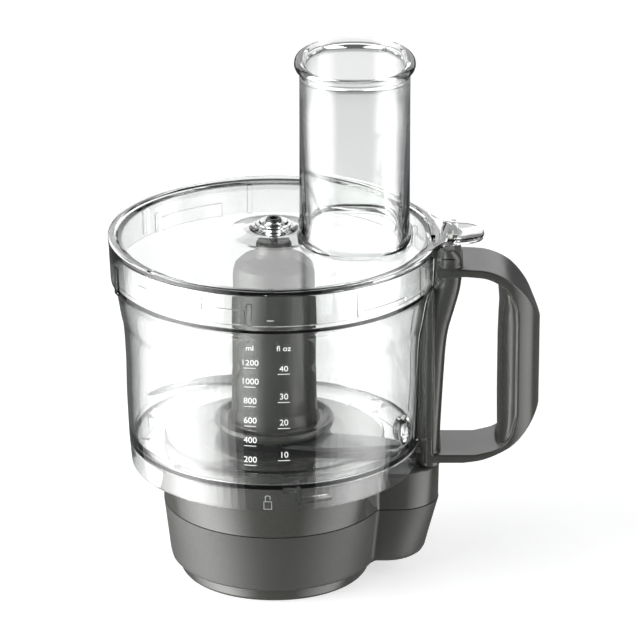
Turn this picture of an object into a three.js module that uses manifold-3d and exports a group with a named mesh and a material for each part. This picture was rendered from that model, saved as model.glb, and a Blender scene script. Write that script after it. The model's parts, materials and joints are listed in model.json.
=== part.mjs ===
// Food processor attachment: a planetary drive base, a clear bowl with a D handle, a two-blade
// knife and a clear lid with a feed tube. Millimetres, +Z up. The part stands on the foot ring at
// z = 0, the handle points along +X, and the shapes are drawn around the drive axis.

import * as THREE from 'three';
import { mergeVertices } from 'three/addons/utils/BufferGeometryUtils.js';
import Module from 'manifold-3d';

const wasm = await Module();
wasm.setup();

// ---- driving dimensions ------------------------------------------------------------------------

const GAP = 0.3;                 // between pieces that touch
const RIM_R = 91.5;              // lid rim, the widest round of the part
const RIM_TOP = 200;             // top of the lid rim
const TUBE_TOP = 300;            // top of the feed tube, the highest point
const GRIP_X = 147.5;            // outermost point of the handle
const DRIVE_X = (RIM_R - GRIP_X) / 2;   // puts the origin under the middle of the part

const FOOT_H = 7.6;              // foot ring
const SEAM_Z = 42.4;             // top of the lower housing
const CASE_R = 62.2;             // housing radius at the seam
const CASE_WALL = 2.6;
const CASE_TOP = 76.5;           // top plate of the upper housing
const LOBE_X = 92;               // reach of the interlock lobe
const LOBE_W = 23.5;             // half width of the lobe
const LOBE_TOP = 65;
const FLOOR_T = 3;               // floor of the lower housing
const POST_R = 5;                // screw posts
const CASE_SCREW_R = 50;         // pitch circles of the screws
const CUP_SCREW_R = 34.3;

const MODULE = 1.25;             // gear train: 12-tooth sun and planets in a 36-tooth ring
const SUN_TEETH = 12;
const PLANET_TEETH = 12;
const RING_TEETH = SUN_TEETH + 2 * PLANET_TEETH;
const PLANET_COUNT = 3;
const PLANET_R = MODULE * (SUN_TEETH + PLANET_TEETH) / 2;
const GEAR_Z0 = 27;
const GEAR_Z1 = 40;
const PIN_R = 2.4;
const CUP_R = 30.3;              // gearbox cup and its cover

const SHAFT_R = 5.5;
const HEX_FLATS = 9.8;           // across the flats of the knife drive
const SHAFT_TOP = 172;

const BOWL_FLOOR = 81.3;         // upper face of the bowl floor
const SKIRT_Z = 66.2;            // lower edge of the bowl skirt
const BOWL_RIM = 196.6;
const CHIMNEY_R = 12.2;
const CHIMNEY_WALL = 2.6;
const CHIMNEY_TOP = 124;
const RAIL_T = 2.2;              // clear rails beside the handle

const SPINE_W = 19;              // half width of the handle
const SPINE_Z0 = 65.8;
const SPINE_Z1 = 194.6;
const TRAVEL = 4;                // interlock rod and plunger
const UNLOCK_DEG = 25;           // turn that frees the lid, and the bowl
const ROD_T = 4;
const ROD_W = 4.4;
const ROD_LOW_X = 88;
const ROD_HIGH_X = 97;
const CRANK_Z = 148;
const PLUNGER_X = 84;
const PLUNGER_R = 3;
const HANDLE_SCREW_Y = 11;
const HANDLE_SCREW_Z = 73.5;

const TUBE_X = 44.5;             // feed tube centre
const TUBE_A = 30.3;             // half sizes of the tube, radial and tangential
const TUBE_B = 37;
const TUBE_WALL = 2.5;
const LIP_A = 33.2;              // half sizes of the lip around its mouth
const LIP_B = 40.6;
const TAB_Z = 196;
const TAB_TIP_X = 116;

const HUB_R = 23.3;
const HUB_Z0 = 86.3;             // underside of the hub flange
const BLADE_T = 1.6;
const LOWER_BLADE_Z = 84.4;
const UPPER_BLADE_Z = 110.4;

const BIG = 40;                  // facets around the large rounds
const MID = 28;
const SMALL = 16;

// ---- solids ------------------------------------------------------------------------------------

// A closed geometry as a solid: shared vertices merged, empty triangles dropped, faces outwards.
function solid(geometry) {
  const bare = geometry.clone();
  bare.deleteAttribute('normal');
  bare.deleteAttribute('uv');
  const merged = mergeVertices(bare, 1e-3);
  const index = [];
  for (let i = 0; i < merged.index.count; i += 3) {
    const [a, b, c] = [0, 1, 2].map((k) => merged.index.getX(i + k));
    if (a !== b && b !== c && c !== a) index.push(a, b, c);
  }
  const vertProperties = new Float32Array(merged.attributes.position.array);
  if (signedVolume(vertProperties, index) < 0) index.reverse();
  const mesh = new wasm.Mesh({ numProp: 3, vertProperties, triVerts: new Uint32Array(index) });
  return new wasm.Manifold(mesh);
}

function signedVolume(xyz, index) {
  const [a, b, c] = [new THREE.Vector3(), new THREE.Vector3(), new THREE.Vector3()];
  let six = 0;
  for (let i = 0; i < index.length; i += 3) {
    a.fromArray(xyz, 3 * index[i]);
    b.fromArray(xyz, 3 * index[i + 1]);
    c.fromArray(xyz, 3 * index[i + 2]);
    six += a.dot(b.cross(c));
  }
  return six / 6;
}

const union = (first, ...rest) => rest.reduce((all, one) => all.add(one), first);
const minus = (first, ...rest) => rest.reduce((left, one) => left.subtract(one), first);

const points = (pairs) => pairs.map(([x, y]) => new THREE.Vector2(x, y));

// Revolved body: pairs of radius and height.
function turned(pairs, facets = MID) {
  return solid(new THREE.LatheGeometry(points(pairs), facets).rotateX(Math.PI / 2));
}

// Revolved ring: its outline closes on itself.
const ring = (pairs, facets = MID) => turned([...pairs, pairs[0]], facets);

const tubeRing = (r0, r1, z0, z1, facets = SMALL) =>
  ring([[r0, z0], [r1, z0], [r1, z1], [r0, z1]], facets);

function rod(r, z0, z1, x = 0, y = 0, facets = SMALL) {
  const geometry = new THREE.CylinderGeometry(r, r, z1 - z0, facets).rotateX(Math.PI / 2);
  return solid(geometry.translate(x, y, (z0 + z1) / 2));
}

function box(x0, x1, y0, y1, z0, z1) {
  const geometry = new THREE.BoxGeometry(x1 - x0, y1 - y0, z1 - z0);
  return solid(geometry.translate((x0 + x1) / 2, (y0 + y1) / 2, (z0 + z1) / 2));
}

// Plan outline raised from z0 to z1.
function raised(shape, z0, z1, curveSegments = 8) {
  const settings = { depth: z1 - z0, bevelEnabled: false, curveSegments };
  return solid(new THREE.ExtrudeGeometry(shape, settings).translate(0, 0, z0));
}

// Side outline, in x and z, carried across from y0 to y1.
function across(shape, y0, y1, curveSegments = 8) {
  const settings = { depth: y1 - y0, bevelEnabled: false, curveSegments };
  const geometry = new THREE.ExtrudeGeometry(shape, settings).rotateX(Math.PI / 2);
  return solid(geometry.translate(0, y1, 0));
}

// Body through level sections that have the same number of points.
function loft(sections) {
  const count = sections[0].length;
  const xyz = sections.flat().flatMap((p) => [p.x, p.y, p.z]);
  const index = [];
  for (let s = 0; s + 1 < sections.length; s += 1) {
    for (let i = 0; i < count; i += 1) {
      const j = (i + 1) % count;
      const [a, b, c, d] = [s * count + i, s * count + j, (s + 1) * count + j, (s + 1) * count + i];
      index.push(a, b, c, a, c, d);
    }
  }
  const rim = sections[0].map((p) => new THREE.Vector2(p.x, p.y));
  const cap = THREE.ShapeUtils.triangulateShape(rim, []);
  const top = (sections.length - 1) * count;
  cap.forEach(([a, b, c]) => index.push(a, c, b, top + a, top + b, top + c));
  const geometry = new THREE.BufferGeometry();
  geometry.setAttribute('position', new THREE.Float32BufferAttribute(xyz, 3));
  geometry.setIndex(index);
  return solid(geometry);
}

// Level section of the lobe: a tongue from the drive axis with a round end.
function tongue(z, reach, halfWidth, steps = 14) {
  const outline = [new THREE.Vector3(0, -halfWidth, z)];
  for (let i = 0; i <= steps; i += 1) {
    const angle = Math.PI * (i / steps - 0.5);
    const x = reach - halfWidth + halfWidth * Math.cos(angle);
    outline.push(new THREE.Vector3(x, halfWidth * Math.sin(angle), z));
  }
  outline.push(new THREE.Vector3(0, halfWidth, z));
  return outline;
}

// Level section of the feed tube: a rounded box, flatter on its four sides than an ellipse.
function tubeSection(z, a, b, squareness = 2.6, steps = 28) {
  const outline = [];
  for (let i = 0; i < steps; i += 1) {
    const angle = 2 * Math.PI * i / steps;
    const [c, s] = [Math.cos(angle), Math.sin(angle)];
    const x = a * Math.sign(c) * Math.abs(c) ** (2 / squareness);
    const y = b * Math.sign(s) * Math.abs(s) ** (2 / squareness);
    outline.push(new THREE.Vector3(TUBE_X + x, y, z));
  }
  return outline;
}

// ---- node list ---------------------------------------------------------------------------------

const group = new THREE.Group();
group.position.x = DRIVE_X;

const finishes = {
  gloss_grey: { color: 0x47484a, roughness: 0.22, metalness: 0 },
  satin_grey: { color: 0x444542, roughness: 0.5, metalness: 0 },
  clear: { color: 0xf2f4f4, roughness: 0.05, metalness: 0, transparent: true, opacity: 0.3 },
  black: { color: 0x161616, roughness: 0.4, metalness: 0 },
  steel: { color: 0xb9bcc0, roughness: 0.28, metalness: 1 },
  bronze: { color: 0xa9834d, roughness: 0.45, metalness: 1 },
  acetal: { color: 0xe8e6df, roughness: 0.5, metalness: 0 },
  rubber: { color: 0x202020, roughness: 0.9, metalness: 0 },
};

function add(name, body, finish) {
  const { vertProperties, triVerts, numProp } = body.getMesh();
  const xyz = new Float32Array(3 * vertProperties.length / numProp);
  for (let i = 0; i < xyz.length / 3; i += 1) {
    xyz.set(vertProperties.subarray(i * numProp, i * numProp + 3), 3 * i);
  }
  const geometry = new THREE.BufferGeometry();
  geometry.setAttribute('position', new THREE.BufferAttribute(xyz, 3));
  geometry.setIndex(Array.from(triVerts));
  geometry.computeVertexNormals();
  const mesh = new THREE.Mesh(geometry, new THREE.MeshStandardMaterial(finishes[finish]));
  mesh.name = name;
  group.add(mesh);
}

// ---- base: foot ring and housings --------------------------------------------------------------

const SCREW_R = 1.5;
const HEAD_R = 3.2;
const spotsOn = (r, degrees) => degrees.map((deg) => {
  const angle = THREE.MathUtils.degToRad(deg);
  return [r * Math.cos(angle), r * Math.sin(angle)];
});
const caseScrewSpots = spotsOn(CASE_SCREW_R, [60, 180, 300]);
const gearboxScrewSpots = spotsOn(CUP_SCREW_R, [0, 120, 240]);
const rodsAt = (spots, r, z0, z1, facets = 12) => spots.map(([x, y]) => rod(r, z0, z1, x, y, facets));
const CASE_FLOOR = FOOT_H + GAP;
const CASE_INSIDE = CASE_FLOOR + FLOOR_T;

function footRing() {
  return ring([[44, 0], [51.4, 0], [52.8, 1.4], [54.4, FOOT_H], [44, FOOT_H]], BIG);
}

function lowerHousing() {
  const outside = union(
    turned([[0, CASE_FLOOR], [55.5, CASE_FLOOR], [57.6, 9], [58.5, 11.5], [60, 24],
      [CASE_R, SEAM_Z], [0, SEAM_Z]], BIG),
    loft([tongue(9, 79, 17), tongue(10.3, 82, 20), tongue(13, 84.5, 21.7),
      tongue(SEAM_Z, LOBE_X, LOBE_W)]),
  );
  const inside = union(
    turned([[0, CASE_INSIDE], [55.6, CASE_INSIDE], [57.4, 24], [CASE_R - CASE_WALL, SEAM_Z + 1],
      [0, SEAM_Z + 1]], BIG),
    loft([tongue(12, 78, 16), tongue(15, 81.6, 18.8),
      tongue(SEAM_Z + 1, LOBE_X - CASE_WALL, LOBE_W - CASE_WALL)]),
  );
  const shelf = box(76, 95, -8, 8, 33.5, 36.7).intersect(outside);
  const posts = rodsAt(caseScrewSpots, POST_R, CASE_FLOOR, SEAM_Z);
  const throughs = rodsAt(caseScrewSpots, SCREW_R + GAP, 0, SEAM_Z + 1);
  const sinks = rodsAt(caseScrewSpots, HEAD_R + GAP, 0, 11);
  const shell = union(minus(outside, inside), shelf, ...posts);
  const pilots = rodsAt(gearboxScrewSpots, SCREW_R + GAP, 0, 20);
  return minus(shell, rod(27.5, 0, 20, 0, 0, MID), ...throughs, ...sinks, ...pilots);
}

function upperHousing() {
  const bottom = SEAM_Z + GAP;
  const outside = union(
    turned([[0, bottom], [CASE_R, bottom], [CASE_R, CASE_TOP - 2], [CASE_R - 2, CASE_TOP],
      [0, CASE_TOP]], BIG),
    loft([tongue(bottom, LOBE_X, LOBE_W), tongue(LOBE_TOP - 2.5, LOBE_X + 0.3, LOBE_W + 0.1),
      tongue(LOBE_TOP - 0.7, LOBE_X - 0.7, LOBE_W - 0.9),
      tongue(LOBE_TOP, LOBE_X - 2.5, LOBE_W - 2.7)]),
  );
  const inside = union(
    turned([[0, bottom - 1], [CASE_R - CASE_WALL, bottom - 1], [CASE_R - CASE_WALL, 73.9],
      [0, 73.9]], BIG),
    loft([tongue(bottom - 1, LOBE_X - CASE_WALL, LOBE_W - CASE_WALL),
      tongue(LOBE_TOP - CASE_WALL, LOBE_X - CASE_WALL, LOBE_W - CASE_WALL)]),
  );
  const posts = rodsAt(caseScrewSpots, POST_R, bottom, CASE_TOP - 1.5);
  const pilots = rodsAt(caseScrewSpots, SCREW_R + GAP, bottom - 1, 58);
  const bearingSeat = rod(14, 66, 75, 0, 0, SMALL);
  const seatRing = tubeRing(40, 43, CASE_TOP - 1, 78.6, MID);
  const plungerGuide = rod(6, 57, LOBE_TOP - 1, PLUNGER_X, 0, SMALL).intersect(outside);
  const shell = union(minus(outside, inside), ...posts, bearingSeat, seatRing, plungerGuide);
  return minus(shell, ...pilots, rod(11.3, 60, 73.9), rod(9.3, 60, 90),
    rod(PLUNGER_R + GAP, 50, 70, PLUNGER_X, 0));
}

// Slotted screw. headZ is the outer face of its head, and tipZ lies above or below it.
function screw(x, y, headZ, headH, tipZ) {
  const up = Math.sign(tipZ - headZ);
  const span = (from, to) => (from < to ? [from, to] : [to, from]);
  const head = rod(HEAD_R, ...span(headZ, headZ + up * headH), x, y, 12);
  const shank = rod(SCREW_R, ...span(headZ + up * (headH - 1), tipZ), x, y, 10);
  const slot = box(x - 1.9, x + 1.9, y - 0.4, y + 0.4, ...span(headZ - up, headZ + up));
  return minus(union(head, shank), slot);
}

add('foot_ring', footRing(), 'gloss_grey');
add('lower_housing', lowerHousing(), 'satin_grey');
add('upper_housing', upperHousing(), 'gloss_grey');
caseScrewSpots.forEach(([x, y], i) => {
  add(`case_screw_${i + 1}`, screw(x, y, 8.3, 2.4, 56), 'steel');
});

// ---- base: planetary gearbox -------------------------------------------------------------------

const PRESSURE = THREE.MathUtils.degToRad(20);
const BACKLASH = 0.28;           // taken off each tooth's thickness

// One side of an involute tooth: radius and half angle, from its foot to its tip.
function flank(teeth, footR, tipR, thinning, steps = 2) {
  const pitchR = MODULE * teeth / 2;
  const baseR = pitchR * Math.cos(PRESSURE);
  const inv = (r) => {
    const alpha = Math.acos(Math.min(1, baseR / r));
    return Math.tan(alpha) - alpha;
  };
  const halfPitch = (Math.PI * MODULE / 2 - thinning) / (2 * pitchR);
  const lowR = Math.max(footR, baseR);
  const side = [];
  for (let i = 0; i <= steps; i += 1) {
    const r = lowR + (tipR - lowR) * i / steps;
    side.push([r, halfPitch + inv(pitchR) - inv(r)]);
  }
  if (footR < baseR) side.unshift([footR, side[0][1]]);
  return side;
}

// Outline of a whole gear: each tooth up one side and down the other.
function gearOutline(teeth, side, phase = 0) {
  const outline = [];
  for (let tooth = 0; tooth < teeth; tooth += 1) {
    const middle = phase + 2 * Math.PI * tooth / teeth;
    const up = side.map(([r, half]) => [r, middle - half]);
    const down = side.map(([r, half]) => [r, middle + half]).reverse();
    [...up, ...down].forEach(([r, angle]) => {
      outline.push(new THREE.Vector2(r * Math.cos(angle), r * Math.sin(angle)));
    });
  }
  return new THREE.Shape(outline);
}

function spurGear(teeth, phase, boreR) {
  const pitchR = MODULE * teeth / 2;
  const side = flank(teeth, pitchR - 1.25 * MODULE, pitchR + 0.9 * MODULE, BACKLASH);
  const blank = raised(gearOutline(teeth, side, phase), GEAR_Z0 + 1, GEAR_Z1 - 0.5);
  return minus(blank, rod(boreR, 0, 60));
}

// The ring's tooth spaces are those of an outside gear with thicker teeth.
function ringGear() {
  const pitchR = MODULE * RING_TEETH / 2;
  const side = flank(RING_TEETH, pitchR - 0.9 * MODULE, pitchR + 1.25 * MODULE, -BACKLASH);
  const spaces = raised(gearOutline(RING_TEETH, side, Math.PI / RING_TEETH), 0, 60);
  return minus(rod(27, GEAR_Z0 - 0.7, GEAR_Z1, 0, 0, MID), spaces);
}

const planetAngles = [...Array(PLANET_COUNT).keys()].map((i) => 2 * Math.PI * i / PLANET_COUNT);
const planetSpots = planetAngles.map((a) => [PLANET_R * Math.cos(a), PLANET_R * Math.sin(a)]);

function gearboxCup() {
  const flangeR = 38;
  const flangeZ = CASE_INSIDE + GAP;
  const cup = ring([[11.3, 17], [14.5, 17], [14.5, 23.2], [27.5, 23.2], [27.5, flangeZ],
    [flangeR, flangeZ], [flangeR, 13.8], [CUP_R, 13.8], [CUP_R, 45.8], [CUP_R - 3, 45.8],
    [CUP_R - 3, 26], [6.6, 26], [6.6, 23.2], [11.3, 23.2]], MID);
  return minus(cup, ...rodsAt(gearboxScrewSpots, SCREW_R + GAP, 5, 20));
}

function inputCoupling() {
  const body = turned([[0, 3], [13, 3], [14, 4], [14, 16.5], [6, 16.5], [6, 26.4], [3, 26.4],
    [3, GEAR_Z1 - 1], [0, GEAR_Z1 - 1]], SMALL);
  const lobes = 6;
  const socket = new THREE.Shape();
  for (let i = 0; i < 2 * lobes; i += 1) {
    const angle = Math.PI * i / lobes;
    const r = i % 2 ? 7 : 10;
    socket[i ? 'lineTo' : 'moveTo'](r * Math.cos(angle), r * Math.sin(angle));
  }
  return minus(body, raised(socket, 0, 13));
}

function planetCarrier() {
  const low = GEAR_Z1 + 0.6;
  const plate = turned([[0, low], [21, low], [21, 44], [9, 44], [9, 45.4], [0, 45.4]]);
  const holes = rodsAt(planetSpots, PIN_R + GAP, 30, 60, 14);
  return minus(plate, ...holes, rod(SHAFT_R + GAP, 30, 60));
}

function hexagon(flats) {
  const corner = flats / Math.sqrt(3);
  const spots = [...Array(6).keys()].map((i) => {
    const angle = Math.PI * (i + 0.5) / 3;
    return new THREE.Vector2(corner * Math.cos(angle), corner * Math.sin(angle));
  });
  return new THREE.Shape(spots);
}

function driveShaft() {
  const round = rod(SHAFT_R, GEAR_Z1 + 1, BOWL_FLOOR + 2);
  const collar = rod(7.4, 49.4, 67.6);
  return union(round, collar, raised(hexagon(HEX_FLATS), BOWL_FLOOR, SHAFT_TOP));
}

add('gearbox_cup', gearboxCup(), 'satin_grey');
add('gearbox_cover', tubeRing(9, CUP_R, 46.1, 48.8, MID), 'satin_grey');
gearboxScrewSpots.forEach(([x, y], i) => {
  add(`gearbox_screw_${i + 1}`, screw(x, y, 16.2, 2.1, 8.2), 'steel');
});
add('ring_gear', ringGear(), 'acetal');
add('input_bearing', tubeRing(6.3, 11, 17.2, 22.9), 'bronze');
add('output_bearing', tubeRing(SHAFT_R + GAP, 11, 68, 73.6), 'bronze');
add('shaft_seal', tubeRing(SHAFT_R + 0.2, 9, 74.2, CASE_TOP), 'rubber');
add('input_coupling', inputCoupling(), 'steel');
add('sun_gear', spurGear(SUN_TEETH, 0, 3 + GAP), 'steel');
planetSpots.forEach(([x, y], i) => {
  const turn = THREE.MathUtils.radToDeg(planetAngles[i]);
  const gear = spurGear(PLANET_TEETH, Math.PI / PLANET_TEETH, PIN_R + GAP).rotate([0, 0, turn]);
  add(`planet_gear_${i + 1}`, gear.translate([x, y, 0]), 'acetal');
});
rodsAt(planetSpots, PIN_R, GEAR_Z0 + 0.6, 44, 14).forEach((pin, i) => {
  add(`planet_pin_${i + 1}`, pin, 'steel');
});
add('planet_carrier', planetCarrier(), 'steel');
add('drive_shaft', driveShaft(), 'steel');

// ---- base: interlock plunger -------------------------------------------------------------------

// Coil of round wire along z.
function coilSpring(x, meanR, wireR, z0, z1, turns) {
  const stepsPerTurn = 9;
  const spots = [];
  for (let i = 0; i <= turns * stepsPerTurn; i += 1) {
    const angle = 2 * Math.PI * i / stepsPerTurn;
    const z = z0 + wireR + (z1 - z0 - 2 * wireR) * i / (turns * stepsPerTurn);
    spots.push(new THREE.Vector3(x + meanR * Math.cos(angle), meanR * Math.sin(angle), z));
  }
  const path = new THREE.CatmullRomCurve3(spots);
  const wire = new THREE.Shape(points([[wireR, 0], [0, wireR], [-wireR, 0], [0, -wireR]]));
  const settings = { steps: turns * stepsPerTurn, extrudePath: path, bevelEnabled: false };
  return solid(new THREE.ExtrudeGeometry(wire, settings));
}

const PLUNGER_TOP = LOBE_TOP + 0.4;
const plunger = union(
  rod(PLUNGER_R, 51, PLUNGER_TOP, PLUNGER_X, 0, SMALL),
  rod(4.6, 50, 52, PLUNGER_X, 0, SMALL).intersect(rod(LOBE_X - CASE_WALL - 0.7, 0, 90, 0, 0, BIG)),
  rod(1.8, 44, 51, PLUNGER_X, 0, 12),
);
add('interlock_plunger', plunger, 'acetal');
add('plunger_spring', coilSpring(PLUNGER_X, 2.9, 0.45, 37, 49.7, 4), 'steel');

// ---- bowl --------------------------------------------------------------------------------------

// Outer wall of the bowl, from the skirt up to the rim: radius and height.
const bowlOuter = [[79.9, SKIRT_Z], [80.5, 72], [81.1, 80.5], [81.5, 89], [82.2, 108], [82.4, 127],
  [83.4, 146], [85, 155], [87, 167], [88.8, 172.5], [90.4, 174.6], [90.8, 185], [91.2, BOWL_RIM]];
const bowlInner = [[88.6, BOWL_RIM], [88.4, 176.6], [86.4, 173.8], [84.5, 167], [82.5, 155],
  [80.9, 146], [79.9, 127], [79.7, 108], [79, 89], [78.5, 84.3], [76.3, BOWL_FLOOR + 0.3]];

const spineFace = [[92.4, SPINE_Z0], [92.4, 82], [93.2, 102], [94.3, 123], [95.3, 138], [96.3, 148],
  [99.8, 159], [103, 172], [104, 181]];

// Holes along x for the two screws that hold the handle.
function handleScrewHoles() {
  return [-HANDLE_SCREW_Y, HANDLE_SCREW_Y].map((y) => {
    const hole = new THREE.CylinderGeometry(SCREW_R + 0.4, SCREW_R + 0.4, 30, 12);
    return solid(hole.rotateZ(Math.PI / 2).translate(75, y, HANDLE_SCREW_Z));
  });
}

function bowl() {
  const chimneyIn = CHIMNEY_R - CHIMNEY_WALL;
  const underside = BOWL_FLOOR - 2.4;
  const vessel = ring([...bowlOuter, ...bowlInner, [61.4, BOWL_FLOOR], [60.8, BOWL_FLOOR + 1],
    [CHIMNEY_R, BOWL_FLOOR + 1], [CHIMNEY_R, CHIMNEY_TOP], [chimneyIn, CHIMNEY_TOP],
    [chimneyIn, underside], [77.9, underside], [77.4, SKIRT_Z]], BIG);
  const core = turned([[0, 60], [79, 60], [79, 90], [80, 130], [81.5, 146], [84.5, 162], [88, 176],
    [89.5, 190], [89.5, 200], [0, 200]], BIG);
  const railFace = spineFace.map(([x, z]) => [x - 3.2, Math.max(z, 84)]);
  const rail = new THREE.Shape(points([[70, 84], ...railFace.slice(1), [99.5, 192], [70, 192]]));
  const rails = [-1, 1].map((side) => {
    const middle = side * (SPINE_W + 1.5);
    return minus(across(rail, middle - RAIL_T / 2, middle + RAIL_T / 2), core);
  });
  return minus(union(vessel, ...rails), ...handleScrewHoles());
}

function bowlBush() {
  const outer = CHIMNEY_R - CHIMNEY_WALL - GAP;
  const flange = CHIMNEY_R - 0.5;
  const seat = CHIMNEY_TOP + GAP;
  return ring([[6, 108], [outer, 108], [outer, seat], [flange, seat], [flange, seat + 2.2],
    [6, seat + 2.2]], SMALL);
}

add('bowl', bowl(), 'clear');
add('bowl_bush', bowlBush(), 'acetal');

// ---- handle ------------------------------------------------------------------------------------

function handle() {
  const spine = new THREE.Shape(points([[70, SPINE_Z0], ...spineFace, [104, 187], [100, SPINE_Z1],
    [70, SPINE_Z1]]));
  const loop = new THREE.Shape(points([[80, 184], [111, 184]]));
  loop.quadraticCurveTo(123, 183.5, 131, 177);
  loop.quadraticCurveTo(140, 169.5, 144, 159);
  loop.lineTo(GRIP_X, 151);
  loop.lineTo(GRIP_X, 99);
  loop.lineTo(141.6, 89.4);
  loop.quadraticCurveTo(133, 77.5, 119, 71.6);
  loop.lineTo(109, 69);
  loop.lineTo(80, 69);
  const fingers = new THREE.Shape(points([[92, 179.8], [111, 179.8]]));
  fingers.quadraticCurveTo(127, 178.5, 131.5, 161);
  fingers.lineTo(131.5, 92);
  fingers.quadraticCurveTo(128, 75, 108, 73.7);
  fingers.lineTo(88, 73.7);
  const band = minus(across(loop, -SPINE_W, SPINE_W), across(fingers, -SPINE_W - 1, SPINE_W + 1));
  const grip = band.intersect(
    loft([60, 200].map((z) => tongue(z, GRIP_X, SPINE_W, 16))),
  );
  const clearance = bowlOuter.map(([r, z]) => [r + GAP, z]);
  const bowlSpace = turned([[0, 50], [clearance[0][0], 50], ...clearance,
    [clearance.at(-1)[0], 210], [0, 210]], BIG);
  const body = minus(union(across(spine, -SPINE_W, SPINE_W), grip), bowlSpace);
  const plungerSweep = box(70, 88.2, -25, 4.2, 60, 70.4);
  return minus(body, rodChannel(), ...handleScrewHoles(), plungerSweep);
}

// Side outline of the interlock rod: a straight bar, a crank over the bowl's shoulder, and a
// straight bar again.
function rodOutline() {
  const half = ROD_T / 2;
  return new THREE.Shape(points([
    [ROD_LOW_X - half, SPINE_Z0], [ROD_LOW_X + half, SPINE_Z0], [ROD_LOW_X + half, CRANK_Z],
    [ROD_HIGH_X + half, CRANK_Z + 16], [ROD_HIGH_X + half, TAB_Z - 0.4],
    [ROD_HIGH_X - half, TAB_Z - 0.4], [ROD_HIGH_X - half, CRANK_Z + 20],
    [ROD_LOW_X - half, CRANK_Z + 4],
  ]));
}

// The channel lies open towards the bowl below the crank, and leaves room for the rod's travel.
function channelOutline(spare = 0.35) {
  const half = ROD_T / 2 + spare;
  return new THREE.Shape(points([
    [70, 50], [ROD_LOW_X + half, 50], [ROD_LOW_X + half, CRANK_Z - spare],
    [ROD_HIGH_X + half, CRANK_Z + 16 - spare], [ROD_HIGH_X + half, 210], [ROD_HIGH_X - half, 210],
    [ROD_HIGH_X - half, CRANK_Z + 20 + TRAVEL + spare], [ROD_LOW_X - half, CRANK_Z + 4 + TRAVEL],
    [70, CRANK_Z + 4 + TRAVEL],
  ]));
}

const SPRING_Z0 = 100;
const ROD_COLLAR_Z = 118;

function rodChannel() {
  const slot = across(channelOutline(), -ROD_W / 2 - 0.35, ROD_W / 2 + 0.35);
  const pocket = box(70, ROD_LOW_X + 4.2, -4.2, 4.2, SPRING_Z0, ROD_COLLAR_Z + 2 + TRAVEL + 0.6);
  return union(slot, pocket);
}

function interlockRod() {
  const bar = across(rodOutline(), -ROD_W / 2, ROD_W / 2);
  return union(bar, box(ROD_LOW_X - 3.8, ROD_LOW_X + 3.8, -3.8, 3.8, ROD_COLLAR_Z, ROD_COLLAR_Z + 2));
}

function handleScrew(y) {
  const head = new THREE.CylinderGeometry(HEAD_R, HEAD_R, 2, 12).rotateZ(Math.PI / 2);
  const shank = new THREE.CylinderGeometry(SCREW_R, SCREW_R, 12, 10).rotateZ(Math.PI / 2);
  const skirtR = 77.6;
  const headX = Math.sqrt(skirtR ** 2 - (Math.abs(y) + HEAD_R) ** 2) - 1.5;
  return union(solid(head.translate(headX, y, HANDLE_SCREW_Z)),
    solid(shank.translate(headX + 6.5, y, HANDLE_SCREW_Z)));
}

add('handle', handle(), 'gloss_grey');
add('handle_screw_1', handleScrew(-HANDLE_SCREW_Y), 'steel');
add('handle_screw_2', handleScrew(HANDLE_SCREW_Y), 'steel');
add('interlock_rod', interlockRod(), 'acetal');
add('rod_spring', coilSpring(ROD_LOW_X, 3.5, 0.38, SPRING_Z0 + GAP, ROD_COLLAR_Z - GAP, 4), 'steel');

// ---- knife -------------------------------------------------------------------------------------

function bladeBody(outline, z, ringInR, ringOutR) {
  const arm = raised(new THREE.Shape(points(outline)), z, z + BLADE_T);
  const root = rod(ringOutR, z, z + BLADE_T, 0, 0, MID);
  return minus(union(arm, root), rod(ringInR, z - 1, z + 3));
}

const lowerOutline = [[12, -6], [25, -13.5], [42, -16.4], [55, -18.6], [63, -21.5], [68, -26],
  [69.6, -31], [61, -35.4], [50, -37.4], [35, -38], [20, -36.2], [5, -32.5], [0, -20]];
const upperOutline = [[-10, 14], [-23, 12], [-37, 9], [-56, 0], [-64, -8], [-70, -19], [-64, -18],
  [-48, -6], [-27, -3], [-12, -6]];

function knifeHub() {
  const column = turned([[0, 179.9], [17, 178.5], [20.6, 172], [20.8, HUB_Z0], [33, HUB_Z0],
    [33.5, 88.6], [32.9, 91], [31.4, 90.9], [28.4, 88.9], [25, 89.3], [23.8, 98], [HUB_R, 120],
    [HUB_R - 0.4, 172], [22, 178], [19, 182], [12.5, 184.6], [10.2, 187], [9.6, 193], [8.5, 194],
    [0, 194]], MID);
  const arm = new THREE.Shape(points(upperOutline));
  const slot = raised(arm, UPPER_BLADE_Z - GAP, UPPER_BLADE_Z + BLADE_T + GAP);
  const slots = [-GAP, GAP].map((y) => slot.translate([0, y, 0]));
  return minus(column, ...slots, rod(2.3, 182, 200, 0, 0, 12));
}

function driveSocket() {
  return minus(rod(9.2, 130, 178.8), raised(hexagon(HEX_FLATS + 0.6), 120, SHAFT_TOP + 2));
}

add('knife_hub', knifeHub(), 'gloss_grey');
add('drive_socket', driveSocket(), 'acetal');
add('knife_top_pin', rod(2, 182.4, 204, 0, 0, 12), 'steel');
add('lower_blade', bladeBody(lowerOutline, LOWER_BLADE_Z, 14, 25), 'steel');
add('upper_blade', bladeBody(upperOutline, UPPER_BLADE_Z, 14, 20.3), 'steel');

// ---- lid ---------------------------------------------------------------------------------------

function tabShape() {
  const tab = new THREE.Shape();
  tab.moveTo(75, -34);
  tab.lineTo(86.8, -29);
  tab.quadraticCurveTo(92.5, -17, 100, -14.8);
  tab.lineTo(107, -14);
  tab.quadraticCurveTo(TAB_TIP_X, -11, TAB_TIP_X, 0);
  tab.quadraticCurveTo(TAB_TIP_X, 11, 107, 14);
  tab.lineTo(100, 14.8);
  tab.quadraticCurveTo(92.5, 17, 86.8, 29);
  tab.lineTo(75, 34);
  return tab;
}

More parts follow.
